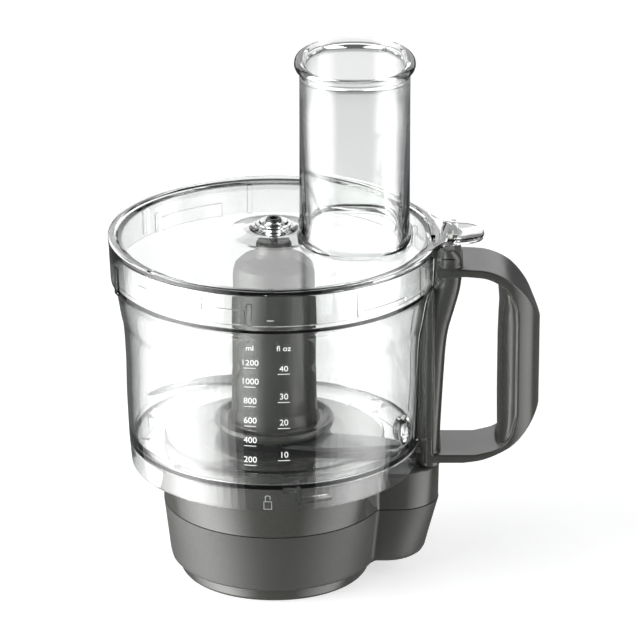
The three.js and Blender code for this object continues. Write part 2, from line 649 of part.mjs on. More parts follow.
// Slope under the tab that lets the rod rise while the tab turns away from it.
function rampCut() {
  const rise = (y) => TRAVEL * THREE.MathUtils.radToDeg(y / ROD_HIGH_X) / UNLOCK_DEG;
  const side = new THREE.Shape(points([[-4, TAB_Z - 3], [-4, TAB_Z + 0.2], [0, TAB_Z + 0.3],
    [24, TAB_Z + 0.5 + rise(24)], [24, TAB_Z - 3]]));
  const geometry = new THREE.ExtrudeGeometry(side, { depth: 9, bevelEnabled: false });
  geometry.rotateX(Math.PI / 2).rotateZ(-Math.PI / 2);
  return solid(geometry.translate(ROD_HIGH_X + 4.5, 0, 0));
}

function lid() {
  const rimLow = BOWL_RIM + GAP;
  const shell = ring([[4.5, 206.5], [7.8, 206.5], [8, 205.3], [10, 205], [10.2, 204.2], [11.7, 204],
    [18.5, 203.4], [19.5, 202.8], [21, 200.4], [84, 197.7], [86, 198.4], [87.6, RIM_TOP],
    [90.6, RIM_TOP], [RIM_R, 199.1], [RIM_R, rimLow], [87.9, rimLow], [87.7, 178], [85.6, 178],
    [85.4, 195.4], [83, 195.4], [20.4, 198], [18.6, 200.7], [4.5, 200.7]], BIG);
  const tubeOut = loft([tubeSection(194.9, TUBE_A + 1.4, TUBE_B + 1.4),
    tubeSection(RIM_TOP, TUBE_A + 0.4, TUBE_B + 0.4), tubeSection(294, TUBE_A, TUBE_B),
    tubeSection(296.6, TUBE_A + 0.8, TUBE_B + 1), tubeSection(297.7, LIP_A, LIP_B, 2.2),
    tubeSection(TUBE_TOP - 0.6, LIP_A, LIP_B, 2.2),
    tubeSection(TUBE_TOP, LIP_A - 0.6, LIP_B - 0.6, 2.2)]);
  const [a, b] = [TUBE_A - TUBE_WALL, TUBE_B - TUBE_WALL];
  const tubeIn = loft([tubeSection(190, a, b), tubeSection(296, a, b),
    tubeSection(TUBE_TOP + 0.5, a + 1.8, b + 2)]);
  const rimSpace = turned([[0, 190], [RIM_R + 0.6, 190], [RIM_R + 0.6, rimLow], [0, rimLow]], BIG);
  const tab = minus(raised(tabShape(), TAB_Z, RIM_TOP, 6), rimSpace, rod(86, 190, 210, 0, 0, BIG));
  return minus(union(shell, minus(tab, rampCut()), tubeOut), tubeIn);
}

function lidBush() {
  return ring([[2.4, 198.9], [6.8, 198.9], [6.8, 200.4], [4.1, 200.4], [4.1, 207.6], [3.7, 208],
    [2.4, 208]], SMALL);
}

add('lid', lid(), 'clear');
add('lid_bush', lidBush(), 'black');

export default group;
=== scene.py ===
import json
import math

import bpy
import numpy as np
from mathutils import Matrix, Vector


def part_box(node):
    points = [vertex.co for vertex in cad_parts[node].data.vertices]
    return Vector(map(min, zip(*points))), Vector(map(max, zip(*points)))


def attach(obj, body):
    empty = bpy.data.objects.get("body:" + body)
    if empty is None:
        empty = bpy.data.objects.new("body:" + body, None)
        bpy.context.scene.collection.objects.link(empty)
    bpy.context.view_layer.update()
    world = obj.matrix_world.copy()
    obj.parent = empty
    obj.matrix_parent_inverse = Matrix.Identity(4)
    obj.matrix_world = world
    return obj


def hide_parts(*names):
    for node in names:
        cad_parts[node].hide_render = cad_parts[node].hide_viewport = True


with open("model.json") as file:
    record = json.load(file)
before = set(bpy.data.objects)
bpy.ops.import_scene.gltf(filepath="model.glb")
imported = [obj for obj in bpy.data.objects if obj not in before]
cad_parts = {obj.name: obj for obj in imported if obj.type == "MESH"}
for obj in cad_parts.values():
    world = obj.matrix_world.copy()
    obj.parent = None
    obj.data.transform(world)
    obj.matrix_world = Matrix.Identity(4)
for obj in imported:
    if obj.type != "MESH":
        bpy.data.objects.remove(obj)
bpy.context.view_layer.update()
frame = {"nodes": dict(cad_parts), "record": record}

# Sizes are in millimetres around the drive axis, as the CAD is drawn; mesh_from() turns them into
# the frame's metres.

MM = 0.001
JOINTS = {joint["name"]: joint for joint in frame["record"]["behaviour"]["joints"]}
AXIS_X = JOINTS["drive_spin"]["pos_m"][0] / MM


def top_of(node):
    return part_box(node)[1][2] / MM


def bottom_of(node):
    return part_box(node)[0][2] / MM


def reach_of(node):
    """Largest radius of a round node about the drive axis."""
    low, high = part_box(node)
    return (high[1] - low[1]) / 2 / MM


RIM_R = reach_of("lid")
BOWL_RIM_R = reach_of("bowl")
BOWL_RIM_Z = top_of("bowl")
SKIRT_Z = bottom_of("bowl")
TUBE_TOP = top_of("lid")
RIM_TOP = TUBE_TOP - 100
GRIP_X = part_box("handle")[1][0] / MM - AXIS_X
HANDLE_W = reach_of("handle")
SPINE_Z0 = bottom_of("handle")
SPINE_Z1 = top_of("handle")
FOOT_R = reach_of("foot_ring")
FOOT_TOP = top_of("foot_ring")
SEAM_LOW = top_of("lower_housing")
SEAM_HIGH = bottom_of("upper_housing")
CASE_TOP = top_of("upper_housing")
CASE_R = reach_of("upper_housing")
LOBE_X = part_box("upper_housing")[1][0] / MM - AXIS_X
FLOOR_Z = 81.3
LOBE_W = 23.5
LOBE_TOP = 65.0
PLUNGER_X = 84
PLUNGER_TRAVEL = 4
ROUND = 192


# ---- meshes --------------------------------------------------------------------------------------

def mesh_from(name, verts, faces):
    mesh = bpy.data.meshes.new(name)
    verts = np.asarray(verts, float)
    placed = (verts + (AXIS_X, 0, 0)) * MM
    mesh.from_pydata(placed.tolist(), [], [list(map(int, f)) for f in faces])
    mesh.validate()
    return mesh


def make(name, verts, faces):
    piece = bpy.data.objects.new(name, mesh_from(name, verts, faces))
    bpy.context.collection.objects.link(piece)
    return piece


def finish_piece(piece, body, material, replaces=(), sharp=35):
    mesh = piece.data
    mesh.shade_smooth()
    if sharp:
        mesh.set_sharp_from_angle(angle=math.radians(sharp))
    mesh.materials.clear()
    mesh.materials.append(material)
    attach(piece, body)
    if replaces:
        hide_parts(*replaces)
    return piece


def loft(name, levels, ends="closed"):
    """Skin through rings with equal numbers of points. ends: closed caps, or ring, where the last
    level joins the first."""
    levels = [np.asarray(level, float) for level in levels]
    count = len(levels[0])
    verts = np.concatenate(levels)
    faces = []
    spans = len(levels) if ends == "ring" else len(levels) - 1
    for s in range(spans):
        low, high = s * count, (s + 1) % len(levels) * count
        for i in range(count):
            j = (i + 1) % count
            faces.append((low + i, low + j, high + j, high + i))
    if ends == "closed":
        faces.append(tuple(range(count))[::-1])
        faces.append(tuple(range((len(levels) - 1) * count, len(levels) * count)))
    return make(name, verts, faces)


def circle(radius, z, count=ROUND):
    angle = np.arange(count) * 2 * np.pi / count
    return np.c_[radius * np.cos(angle), radius * np.sin(angle), np.full(count, float(z))]


def turned(name, profile, count=ROUND):
    """Revolved body from a closed outline of radius and height, or one that ends on the axis."""
    on_axis = profile[0][0] < 1e-6 and profile[-1][0] < 1e-6
    if not on_axis:
        return outward(loft(name, [circle(r, z, count) for r, z in profile], "ring"))
    inner = profile[1:-1]
    levels = [circle(r, z, count) for r, z in inner]
    verts = np.concatenate(levels + [[[0, 0, profile[0][1]], [0, 0, profile[-1][1]]]])
    faces = []
    for s in range(len(levels) - 1):
        for i in range(count):
            j = (i + 1) % count
            faces.append((s * count + i, s * count + j, (s + 1) * count + j, (s + 1) * count + i))
    first, last = len(verts) - 2, len(verts) - 1
    top = (len(levels) - 1) * count
    for i in range(count):
        j = (i + 1) % count
        faces.append((first, j, i))
        faces.append((top + i, top + j, last))
    return outward(make(name, verts, faces))


def outward(piece):
    """Turns every face out, by the sign of the volume."""
    mesh = piece.data
    mesh.calc_loop_triangles()
    xyz = np.array([v.co[:] for v in mesh.vertices])
    tri = np.array([t.vertices[:] for t in mesh.loop_triangles])
    a, b, c = xyz[tri[:, 0]], xyz[tri[:, 1]], xyz[tri[:, 2]]
    if np.einsum("ij,ij->i", a, np.cross(b, c)).sum() < 0:
        mesh.flip_normals()
    return piece


def rounded(points, steps=6, closed=True):
    """Outline with its corners rounded: each point is (x, y) or (x, y, radius)."""
    out = []
    count = len(points)
    for k, point in enumerate(points):
        here = np.array(point[:2], float)
        radius = point[2] if len(point) > 2 else 0
        if radius <= 0 or not closed and k in (0, count - 1):
            out.append(here)
            continue
        back = np.array(points[k - 1][:2], float) - here
        ahead = np.array(points[(k + 1) % count][:2], float) - here
        u, v = back / np.linalg.norm(back), ahead / np.linalg.norm(ahead)
        half = math.acos(np.clip(np.dot(u, v), -1, 1)) / 2
        cut = min(radius / math.tan(half), 0.49 * np.linalg.norm(back), 0.49 * np.linalg.norm(ahead))
        start, end = here + u * cut, here + v * cut
        for i in range(steps + 1):
            t = i / steps
            out.append((1 - t) ** 2 * start + 2 * t * (1 - t) * here + t * t * end)
    return [(float(x), float(y)) for x, y in out]


def smooth_curve(points, steps=8):
    """Catmull-Rom curve through the points."""
    p = [np.array(q, float) for q in points]
    p = [2 * p[0] - p[1]] + p + [2 * p[-1] - p[-2]]
    out = []
    for k in range(1, len(p) - 2):
        for i in range(steps):
            t = i / steps
            out.append(0.5 * (2 * p[k] + (p[k + 1] - p[k - 1]) * t
                              + (2 * p[k - 1] - 5 * p[k] + 4 * p[k + 1] - p[k + 2]) * t * t
                              + (3 * p[k] - p[k - 1] - 3 * p[k + 1] + p[k + 2]) * t ** 3))
    out.append(p[-2])
    return [tuple(map(float, q)) for q in out]


def prism(name, outline, low, high, plane="xy"):
    """Outline carried along the third axis: z for plane xy, y for plane xz."""
    flat = np.array(outline, float)
    if plane == "xy":
        levels = [np.c_[flat, np.full(len(flat), h)] for h in (low, high)]
    else:
        levels = [np.c_[flat[:, 0], np.full(len(flat), h), flat[:, 1]] for h in (low, high)]
    return outward(loft(name, levels))


def baked(piece):
    """The piece with its modifiers applied."""
    graph = bpy.context.evaluated_depsgraph_get()
    mesh = bpy.data.meshes.new_from_object(piece.evaluated_get(graph))
    piece.modifiers.clear()
    old = piece.data
    piece.data = mesh
    bpy.data.meshes.remove(old)
    mesh.name = piece.name
    return piece


def combine(piece, how, *others):
    """Joins (UNION), cuts (DIFFERENCE) or keeps the common part (INTERSECT)."""
    for other in others:
        step = piece.modifiers.new(how, "BOOLEAN")
        step.operation = how
        step.solver = "EXACT"
        step.object = other
        baked(piece)
        bpy.data.objects.remove(other)
    return piece


def remeshed(piece, voxel, smoothing):
    """Even skin with softly rounded edges: voxel size in millimetres and smoothing rounds."""
    step = piece.modifiers.new("skin", "REMESH")
    step.mode = "VOXEL"
    step.voxel_size = voxel * MM
    soften = piece.modifiers.new("soften", "SMOOTH")
    soften.factor = 0.5
    soften.iterations = smoothing
    return baked(piece)


# ---- materials -----------------------------------------------------------------------------------

def shader(name, color, roughness, **sockets):
    """Principled material. sockets holds values for further sockets, by name."""
    material = bpy.data.materials.new(name)
    material.use_nodes = True
    bsdf = material.node_tree.nodes["Principled BSDF"]
    bsdf.inputs["Base Color"].default_value = (*color, 1)
    bsdf.inputs["Roughness"].default_value = roughness
    for key, value in sockets.items():
        bsdf.inputs[key].default_value = value
    return material, bsdf


def noise(material, scale, detail=3.0, stretch=(1, 1, 1)):
    """Noise over the object, in its own metres."""
    nodes, links = material.node_tree.nodes, material.node_tree.links
    place = nodes.new("ShaderNodeTexCoord")
    mapping = nodes.new("ShaderNodeMapping")
    mapping.inputs["Scale"].default_value = stretch
    texture = nodes.new("ShaderNodeTexNoise")
    texture.inputs["Scale"].default_value = scale
    texture.inputs["Detail"].default_value = detail
    links.new(place.outputs["Object"], mapping.inputs["Vector"])
    links.new(mapping.outputs["Vector"], texture.inputs["Vector"])
    return texture.outputs["Fac"]


def vary(material, bsdf, source, socket, low, high):
    """Lets a roughness follow the noise between two values."""
    nodes, links = material.node_tree.nodes, material.node_tree.links
    spread = nodes.new("ShaderNodeMapRange")
    spread.inputs["From Min"].default_value = 0.3
    spread.inputs["From Max"].default_value = 0.7
    spread.inputs["To Min"].default_value = low
    spread.inputs["To Max"].default_value = high
    links.new(source, spread.inputs["Value"])
    links.new(spread.outputs["Result"], bsdf.inputs[socket])


def tint(material, bsdf, source, dark, light):
    """Lets the colour drift between two values with the noise."""
    nodes, links = material.node_tree.nodes, material.node_tree.links
    ramp = nodes.new("ShaderNodeValToRGB")
    ramp.color_ramp.elements[0].position = 0.3
    ramp.color_ramp.elements[0].color = (*dark, 1)
    ramp.color_ramp.elements[1].position = 0.7
    ramp.color_ramp.elements[1].color = (*light, 1)
    links.new(source, ramp.inputs["Fac"])
    links.new(ramp.outputs["Color"], bsdf.inputs["Base Color"])


def bump(material, bsdf, source, strength, distance):
    nodes, links = material.node_tree.nodes, material.node_tree.links
    relief = nodes.new("ShaderNodeBump")
    relief.inputs["Strength"].default_value = strength
    relief.inputs["Distance"].default_value = distance * MM
    links.new(source, relief.inputs["Height"])
    links.new(relief.outputs["Normal"], bsdf.inputs["Normal"])


def gloss_plastic(name, color, roughness=0.2):
    material, bsdf = shader(name, color, roughness, **{"IOR": 1.52})
    broad = noise(material, 35)
    vary(material, bsdf, broad, "Roughness", roughness - 0.04, roughness + 0.05)
    tint(material, bsdf, noise(material, 600, 2), [c * 0.93 for c in color], [c * 1.07 for c in color])
    bump(material, bsdf, noise(material, 260, 2), 0.04, 0.05)
    return material


def satin_plastic(name, color):
    material, bsdf = shader(name, color, 0.46, **{"IOR": 1.5})
    vary(material, bsdf, noise(material, 900, 4), "Roughness", 0.4, 0.54)
    tint(material, bsdf, noise(material, 2600, 2), [c * 0.85 for c in color], [c * 1.15 for c in color])
    bump(material, bsdf, noise(material, 2200, 4), 0.35, 0.12)
    return material


def clear_plastic(name, color=(0.902, 0.91, 0.904)):
    """Clear moulding that lets lamps through, with faint flow waves."""
    material, bsdf = shader(name, color, 0.0, **{"IOR": 1.55, "Transmission Weight": 1.0})
    vary(material, bsdf, noise(material, 50), "Roughness", 0.0, 0.03)
    bump(material, bsdf, noise(material, 45, 1), 0.05, 0.25)
    nodes, links = material.node_tree.nodes, material.node_tree.links
    path = nodes.new("ShaderNodeLightPath")
    through = nodes.new("ShaderNodeBsdfTransparent")
    through.inputs["Color"].default_value = (0.94, 0.95, 0.945, 1)
    mix = nodes.new("ShaderNodeMixShader")
    links.new(path.outputs["Is Shadow Ray"], mix.inputs["Fac"])
    links.new(bsdf.outputs["BSDF"], mix.inputs[1])
    links.new(through.outputs["BSDF"], mix.inputs[2])
    links.new(mix.outputs["Shader"], nodes["Material Output"].inputs["Surface"])
    return material


def metal(name, color, roughness, stretch):
    material, bsdf = shader(name, color, roughness, **{"Metallic": 1.0})
    lines = noise(material, 700, 3, stretch)
    vary(material, bsdf, lines, "Roughness", roughness - 0.06, roughness + 0.08)
    bump(material, bsdf, lines, 0.08, 0.05)
    return material


def plain_plastic(name, color, roughness):
    material, bsdf = shader(name, color, roughness)
    grain = noise(material, 1200, 3)
    tint(material, bsdf, grain, [c * 0.92 for c in color], [min(1, c * 1.05) for c in color])
    bump(material, bsdf, grain, 0.1, 0.05)
    return material


GREY = (0.033, 0.0335, 0.030)
looks = {
    "gloss_grey": gloss_plastic("gloss_grey", GREY),
    "satin_grey": satin_plastic("satin_grey", (0.031, 0.031, 0.0285)),
    "clear": clear_plastic("clear"),
    "black": gloss_plastic("black", (0.012, 0.012, 0.012), 0.25),
    "steel": metal("steel", (0.2, 0.203, 0.207), 0.36, (1, 1, 12)),
    "blade_steel": metal("blade_steel", (0.17, 0.171, 0.173), 0.33, (1, 9, 1)),
    "bronze": metal("bronze", (0.42, 0.27, 0.12), 0.42, (1, 1, 1)),
    "acetal": plain_plastic("acetal", (0.72, 0.71, 0.66), 0.45),
    "rubber": plain_plastic("rubber", (0.018, 0.018, 0.018), 0.8),
    "print": plain_plastic("print", (0.74, 0.75, 0.75), 0.5),
    # frost is not a frosted finish: the padlock is a clear relief, and this solid mid grey is a painted
    # highlight standing in for the light its edges catch.
    "frost": plain_plastic("frost", (0.27, 0.275, 0.27), 0.4),
}
for entry in frame["record"]["subparts"]:
    node = frame["nodes"][entry["node"]]
    node.data.materials.clear()
    node.data.materials.append(looks[entry["material_slot"]])


# ---- base ----------------------------------------------------------------------------------------

def lobe_outline(radius, reach, half, z, lobed):
    """Level section of a housing: a circle that runs through fillets into a round-ended lobe.
    Without the lobe its points lie on the circle, so that levels with and without it join up."""
    fillet = 3.0
    base, far, wide = (radius, reach, half) if lobed else (CASE_R, LOBE_X, LOBE_W)
    centre = math.sqrt((base + fillet) ** 2 - (wide + fillet) ** 2)
    leave = math.atan2(wide + fillet, centre)
    upper = [(base * math.cos(a), base * math.sin(a)) for a in np.linspace(math.pi, leave, 73)[:-1]]
    for a in np.linspace(leave + math.pi, 1.5 * math.pi, 11)[:-1]:
        upper.append((centre + fillet * math.cos(a), wide + fillet + fillet * math.sin(a)))
    upper += [(x, wide) for x in np.linspace(centre, far - wide, 9)[:-1]]
    upper += [(far - wide + wide * math.cos(a), wide * math.sin(a))
              for a in np.linspace(math.pi / 2, 0, 25)]
    flat = np.array(upper + [(x, -y) for x, y in upper[-2:0:-1]])
    if not lobed:
        flat = flat * (radius / np.linalg.norm(flat, axis=1))[:, None]
    return np.c_[flat, np.full(len(flat), float(z))]


def housing(name, outer, inner):
    """Shell from outer levels going up and inner levels going down."""
    levels = [lobe_outline(*level[1:4], level[0], level[4]) for level in outer + inner]
    return outward(loft(name, levels, "ring"))


def foot_ring():
    profile = rounded([(44, 0, 0.4), (FOOT_R - 2.8, 0, 1), (FOOT_R - 1.6, 1.5, 1.4),
                       (FOOT_R, FOOT_TOP, 0.5),
                       (44, FOOT_TOP, 0.4)])
    return turned("foot_ring_skin", profile)


def lower_housing():
    low = bottom_of("lower_housing")
    outer = [(low, 54.2, 79, 17, False), (low, 55.6, 79, 17, False), (low + 0.35, 56.8, 79, 17, False),
             (low + 1, 57.6, 79, 17, False), (9.1, 57.8, 79, 17, False), (9.1, 57.8, 76.5, 14.5, True),
             (9.25, 57.9, 79.4, 17.4, True), (9.9, 58.1, 81.6, 19.4, True),
             (11.2, 58.4, 83.4, 20.9, True),
             (13.4, 58.8, 84.7, 21.7, True), (24, 60, 87.4, 22.3, True),
             (SEAM_LOW - 0.5, CASE_R - 0.05, LOBE_X - 0.1, LOBE_W, True),
             (SEAM_LOW - 0.15, CASE_R - 0.15, LOBE_X - 0.2, LOBE_W - 0.1, True),
             (SEAM_LOW, CASE_R - 0.5, LOBE_X - 0.55, LOBE_W - 0.45, True)]
    inner = [(SEAM_LOW, CASE_R - 2.8, LOBE_X - 2.9, LOBE_W - 2.8, True), (24, 57.4, 84.8, 19.8, True),
             (15, 56.2, 81.6, 18.4, True), (12, 55.6, 78, 16, True), (12, 55.6, 78, 16, False),
             (10.9, 54.6, 78, 16, False), (10.9, 27.6, 78, 16, False), (low, 27.6, 78, 16, False)]
    return housing("lower_housing_skin", outer, inner)


def plunger_hole(radius, low, high):
    """Solid to cut with: an upright round hole on the axis of the interlock plunger."""
    angles = np.linspace(0, 2 * np.pi, 48, endpoint=False)
    ring = [(PLUNGER_X + radius * math.cos(a), radius * math.sin(a)) for a in angles]
    return prism("hole", ring, low, high)


def upper_housing():
    top = LOBE_TOP
    outer = [(SEAM_HIGH, CASE_R - 0.5, LOBE_X - 0.6, LOBE_W - 0.5, True),
             (SEAM_HIGH + 0.15, CASE_R - 0.15, LOBE_X - 0.35, LOBE_W - 0.15, True),
             (SEAM_HIGH + 0.5, CASE_R, LOBE_X - 0.3, LOBE_W, True),
             (top - 3, CASE_R, LOBE_X, LOBE_W, True),
             (top - 1.6, CASE_R, LOBE_X - 0.3, LOBE_W - 0.3, True),
             (top - 0.6, CASE_R, LOBE_X - 1.2, LOBE_W - 1.1, True),
             (top - 0.1, CASE_R, LOBE_X - 2.3, LOBE_W - 2.2, True),
             (top, CASE_R, LOBE_X - 3, LOBE_W - 2.9, True),
             (top, CASE_R, LOBE_X - 3, LOBE_W - 2.9, False), (74, CASE_R, LOBE_X, LOBE_W, False),
             (75.4, CASE_R - 0.5, LOBE_X, LOBE_W, False), (76.2, CASE_R - 1.3, LOBE_X, LOBE_W, False),
             (76.5, CASE_R - 2.3, LOBE_X, LOBE_W, False), (76.5, 43.2, LOBE_X, LOBE_W, False),
             (CASE_TOP - 0.3, 43, LOBE_X, LOBE_W, False), (CASE_TOP, 42.7, LOBE_X, LOBE_W, False),
             (CASE_TOP, 40.3, LOBE_X, LOBE_W, False), (CASE_TOP - 0.3, 40, LOBE_X, LOBE_W, False),
             (76.5, 39.8, LOBE_X, LOBE_W, False), (76.5, 9.6, LOBE_X, LOBE_W, False),
             (76.2, 9.3, LOBE_X, LOBE_W, False)]
    inner = [(74, 9.3, LOBE_X, LOBE_W, False), (74, 59.6, LOBE_X, LOBE_W, False),
             (62.4, 59.6, LOBE_X, LOBE_W, False), (62.4, 59.6, LOBE_X - 2.9, LOBE_W - 2.8, True),
             (SEAM_HIGH, 59.6, LOBE_X - 2.9, LOBE_W - 2.8, True)]
    shell = housing("upper_housing_skin", outer, inner)
    return combine(shell, "DIFFERENCE", plunger_hole(3.3, 55, top + 2))


finish_piece(foot_ring(), "base", looks["gloss_grey"], ["foot_ring"])
finish_piece(lower_housing(), "base", looks["satin_grey"], ["lower_housing"])
finish_piece(upper_housing(), "base", looks["gloss_grey"], ["upper_housing"])


# ---- bowl ----------------------------------------------------------------------------------------

wall_outer = [(81.1, 80.5), (81.5, 89), (82.2, 108), (82.4, 127), (83.4, 146), (85, 155), (87, 167),
              (88.9, 173)]
wall_inner = [(86.5, 173.4), (84.5, 167), (82.5, 155), (80.9, 146), (79.9, 127), (79.7, 108), (79, 89),
              (78.6, 85)]


def wall_radius(z):
    """Outer radius of the bowl wall at a height."""
    curve = np.array(smooth_curve(wall_outer))
    return float(np.interp(z, curve[:, 1], curve[:, 0]))


def arc_block(name, r0, r1, a0, a1, z0, z1, steps=10):
    """Block that follows the wall: radii, angles in degrees and heights."""
    rings = []
    for i in range(steps + 1):
        a = math.radians(a0 + (a1 - a0) * i / steps)
        rings.append([(r * math.cos(a), r * math.sin(a), z)
                      for r, z in ((r0, z0), (r1, z0), (r1, z1), (r0, z1))])
    return outward(loft(name, rings))


def ellipsoid(name, centre, radii, count=40):
    rings = []
    for i in range(1, count // 2):
        a = math.pi * i / (count // 2)
        ring = circle(math.sin(a), 0, count)
        ring[:, 2] = -math.cos(a)
        rings.append(ring * radii + centre)
    return outward(loft(name, rings))


spine_face = [(92.4, SPINE_Z0), (92.4, 82), (93.2, 102), (94.3, 123), (95.3, 138), (96.8, 148),
              (99.8, 159),
              (102.6, 170), (103.6, 178), (103.9, 184)]


def bowl():
    under = FLOOR_Z - 2.4
    profile = rounded([(77.5, SKIRT_Z + 1), (77.5, SKIRT_Z, 0.4), (79.9, SKIRT_Z, 1.0), (80.35, 72)],
                      closed=False)
    profile += smooth_curve(wall_outer)
    profile += rounded([(88.95, 173.3), (90.2, 174.6, 1.0), (90.7, 185), (BOWL_RIM_R, BOWL_RIM_Z, 0.7),
                        (88.6, BOWL_RIM_Z, 0.7), (88.4, 176.6, 0.9), (86.9, 174)], closed=False)
    profile += smooth_curve(wall_inner)
    profile += rounded([(78.5, 84.5), (78.1, FLOOR_Z, 3.0), (61.4, FLOOR_Z, 0.5),
                        (60.8, FLOOR_Z + 1, 0.5),
                        (12.2, FLOOR_Z + 1, 2), (12.2, 124, 0.4), (9.6, 124, 0.4), (9.6, under),
                        (77.9, under, 1.2), (77.7, 76)], closed=False)
    vessel = turned("bowl_skin", profile)
    core = turned("core", [(0, 60), (79.6, 60), (79.6, 90), (80.6, 130), (82, 146), (85.4, 162),
                           (89, 176), (89.6, 198), (0, 198)], 96)
    rails = []
    face = [(x - 3.4, z) for x, z in smooth_curve(spine_face)if z > 84]
    outline = [(70, 84)] + face + [(100.6, 191), (70, 191)]
    for side in (-1, 1):
        middle = side * (HANDLE_W + 1.6)
        rails.append(prism(f"rail{side}", outline, middle - 1.1, middle + 1.1, "xz"))
    for rail in rails:
        combine(rail, "DIFFERENCE", copy_of(core))
    bpy.data.objects.remove(core)
    a = math.radians(-26)
    bump = ellipsoid("bump", (78 * math.cos(a), 78 * math.sin(a), 96), (5.4, 6.2, 8.6))
    return combine(vessel, "UNION", *rails, bump, *bowl_lugs())


def bowl_lugs():
    """Bayonet lugs: on the collar for the lid, and under the floor for the base."""
    lugs = [arc_block("lug", 88.8, 91.6, -143, -117, 187.4, 189.2),
            arc_block("lug", 88.8, 91.7, -117.2, -114.8, 186, 195.5, 2),
            arc_block("lug", 88.8, 91.5, -162, -158.6, 174.5, 190, 2),
            arc_block("lug", 88.8, 91.5, -60, -57.5, 180, 195, 2),
            arc_block("lug", 88.8, 91.4, -57.5, -38, 181, 182.8)]
    for turn in (0, 120, 240):
        lugs.append(arc_block("lug", 71, 78.6, turn - 80.4, turn - 78.8, 69, 79.6, 2))
        lugs.append(arc_block("lug", 73.5, 78.6, turn - 86, turn - 79.5, 76.8, 79.6))
        lugs.append(arc_block("lug", 72, 78.6, turn - 79.5, turn - 66, 70, 71.8))
    return lugs


def copy_of(piece):
    twin = piece.copy()
    twin.data = piece.data.copy()
    bpy.context.collection.objects.link(twin)
    return twin


finish_piece(bowl(), "bowl", looks["clear"], ["bowl"])


# ---- print on the bowl ---------------------------------------------------------------------------

INK = 0.12


def wrapped(name, flat_mesh, x, z, scale=1.0):
    """Flat lettering laid on the bowl's outside, x along the wall from the front centre."""
    verts = []
    for v in flat_mesh.vertices:
        height = z + v.co.y * scale
        radius = wall_radius(height) + INK * (1.2 if v.co.z > 0 else 0.3)
        angle = -math.pi / 2 + (x + v.co.x * scale) / radius
        verts.append((radius * math.cos(angle), radius * math.sin(angle), height))
    faces = [tuple(p.vertices) for p in flat_mesh.polygons]
    return make(name, verts, faces)


def lettering(text, size):
    curve = bpy.data.curves.new("lettering", "FONT")
    curve.body = text
    curve.size = size
    curve.extrude = 0.05
    curve.align_x = "CENTER"
    curve.align_y = "BOTTOM"
    source = bpy.data.objects.new("lettering", curve)
    bpy.context.collection.objects.link(source)
    bpy.context.view_layer.update()
    graph = bpy.context.evaluated_depsgraph_get()
    mesh = bpy.data.meshes.new_from_object(source.evaluated_get(graph))
    bpy.data.objects.remove(source)
    return mesh


def bar(width, height, steps=6):
    """Flat bar with a little thickness, centred on x, in short lengths so that it can bend."""
    mesh = bpy.data.meshes.new("bar")
    verts, faces = [], []
    for i in range(steps + 1):
        x = width * (i / steps - 0.5)
        verts += [(x, 0, -0.05), (x, height, -0.05), (x, height, 0.05), (x, 0, 0.05)]
    for i in range(steps):
        a, b = 4 * i, 4 * i + 4
        faces += [(a + k, a + (k + 1) % 4, b + (k + 1) % 4, b + k) for k in range(4)]
    faces += [(3, 2, 1, 0), tuple(4 * steps + k for k in range(4))]
    mesh.from_pydata(verts, [], faces)
    return mesh


ML_X = -12.4
OZ_X = 6.0
marks = [(ML_X, 94.2 + 11.6 * step, str(200 * (step + 1))) for step in range(6)]
marks += [(OZ_X, z, text) for z, text in ((97.3, "10"), (116.4, "20"), (131.8, "30"), (148.7, "40"))]
for number, (x, z, text) in enumerate(marks):
    piece = wrapped(f"mark_{number}", lettering(text, 4.9), x, z + 1.0)
    finish_piece(piece, "bowl", looks["print"], sharp=0)
    line = wrapped(f"mark_line_{number}", bar(6.6, 0.35), x, z)
    finish_piece(line, "bowl", looks["print"], sharp=0)
for name, x, text in (("mark_ml", ML_X, "ml"), ("mark_floz", OZ_X, "fl oz")):
    finish_piece(wrapped(name, lettering(text, 4.6), x, 162.5), "bowl", looks["print"], sharp=0)


def padlock():
    """Open outline of a padlock, in thin bars on the skirt. The real padlock is a clear relief; the
    bars' solid grey is a painted highlight standing in for the light along its edges.
    """
    width, height, line = 4.6, 4.8, 0.38
    sides = [bar(width, line), bar(width, line), bar(line, height), bar(line, height)]
    places = [(0, 0), (0, height - line), (-(width - line) / 2, 0), ((width - line) / 2, 0)]
    sides += [bar(line, 2.2), bar(line, 1.2)]
    places += [(-1.3, height), (1.3, height + 1)]
    for k in range(7):
        a = math.pi * k / 6
        sides.append(bar(0.75, line, 1))
        places.append((1.3 * math.cos(a), height + 2.1 + 1.0 * math.sin(a)))
    for number, (mesh, (x, z)) in enumerate(zip(sides, places)):
        piece = wrapped(f"padlock_{number}", mesh, x - 3.0, z + 68.2)
        # painted highlight: solid grey bars in place of the lit edges of the clear relief
        finish_piece(piece, "bowl", looks["frost"], sharp=0)


padlock()

# ---- handle --------------------------------------------------------------------------------------

def spine():
    """Column behind the bowl: a flat bar with round ends, which follows the bowl's outside."""
    face = np.array(smooth_curve(spine_face) + [(103.6, 189), (101.5, 192.5), (99.5, SPINE_Z1)])
    low = [(79.9, SKIRT_Z), (80.35, 72)]
    wall = np.array(smooth_curve(low + wall_outer) + [(90.6, 176), (BOWL_RIM_R, BOWL_RIM_Z)])
    levels = []
    for z in np.r_[np.arange(SPINE_Z0, SPINE_Z1, 2.5), SPINE_Z1]:
        out = np.interp(z, face[:, 1], face[:, 0])
        back = np.interp(z, wall[:, 1], wall[:, 0]) + 0.9
        middle, half = (out + back) / 2, (out - back) / 2
        width = 17.2
        ring = []
        for side, start in ((1, 0), (-1, np.pi)):
            for a in np.linspace(start, start + np.pi, 17):
                ring.append((middle + half * math.cos(a), side * (width - 6) + 6 * math.sin(a), z))
        levels.append(ring)
    return outward(loft("spine", levels))


